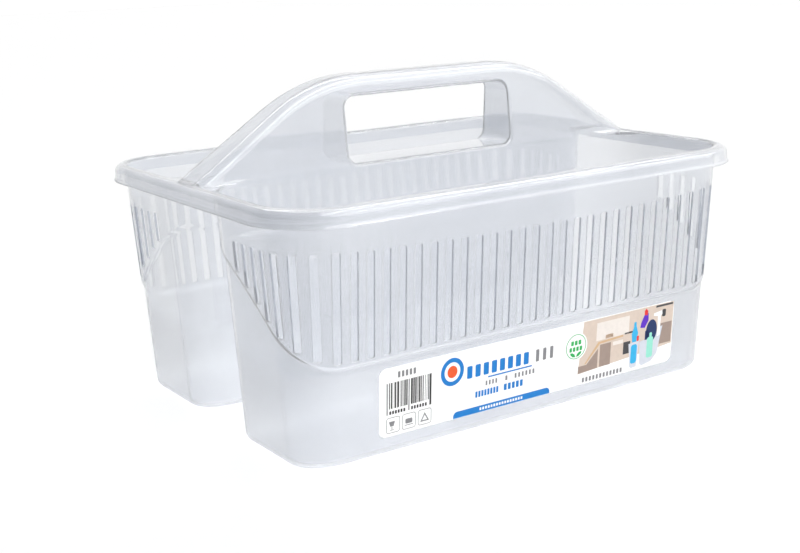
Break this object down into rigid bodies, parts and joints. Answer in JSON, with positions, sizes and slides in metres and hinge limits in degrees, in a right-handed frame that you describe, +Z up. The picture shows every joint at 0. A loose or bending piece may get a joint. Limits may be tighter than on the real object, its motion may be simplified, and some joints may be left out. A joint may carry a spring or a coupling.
{
  "type": "cleaning caddy",
  "caption": "Open two-bin cleaning caddy in clear plastic with slotted upper walls, a rolled rim, a tall hollow hand grip along the middle and a paper label.",
  "frame": {"origin": "centre of the caddy's footprint, on the surface it stands on", "axes": "+X along the length and the grip, -Y towards the labelled side, +Z up"},
  "size_m": [0.3, 0.23, 0.18],
  "materials": {
    "clear_plastic": "glossy moulded clear polypropylene",
    "label": "satin printed film"
  },
  "bodies": {
    "root": {"front_floor": "clear_plastic", "front_outer_wall": "clear_plastic", "front_inner_wall": "clear_plastic", "front_left_end": "clear_plastic", "front_right_end": "clear_plastic", "front_left_outer_corner": "clear_plastic", "front_right_outer_corner": "clear_plastic", "front_left_inner_corner": "clear_plastic", "front_right_inner_corner": "clear_plastic", "rear_floor": "clear_plastic", "rear_outer_wall": "clear_plastic", "rear_inner_wall": "clear_plastic", "rear_left_end": "clear_plastic", "rear_right_end": "clear_plastic", "rear_left_outer_corner": "clear_plastic", "rear_right_outer_corner": "clear_plastic", "rear_left_inner_corner": "clear_plastic", "rear_right_inner_corner": "clear_plastic", "rim_front": "clear_plastic", "rim_rear": "clear_plastic", "rim_left": "clear_plastic", "rim_right": "clear_plastic", "rim_front_left": "clear_plastic", "rim_front_right": "clear_plastic", "rim_rear_left": "clear_plastic", "rim_rear_right": "clear_plastic", "shelf_front_left": "clear_plastic", "shelf_front_right": "clear_plastic", "shelf_rear_left": "clear_plastic", "shelf_rear_right": "clear_plastic", "spine_front_wall": "clear_plastic", "spine_rear_wall": "clear_plastic", "spine_cap": "clear_plastic", "grip_sleeve_top": "clear_plastic", "grip_sleeve_bottom": "clear_plastic", "grip_sleeve_left": "clear_plastic", "grip_sleeve_right": "clear_plastic", "label": "label"}
  },
  "joints": []
}
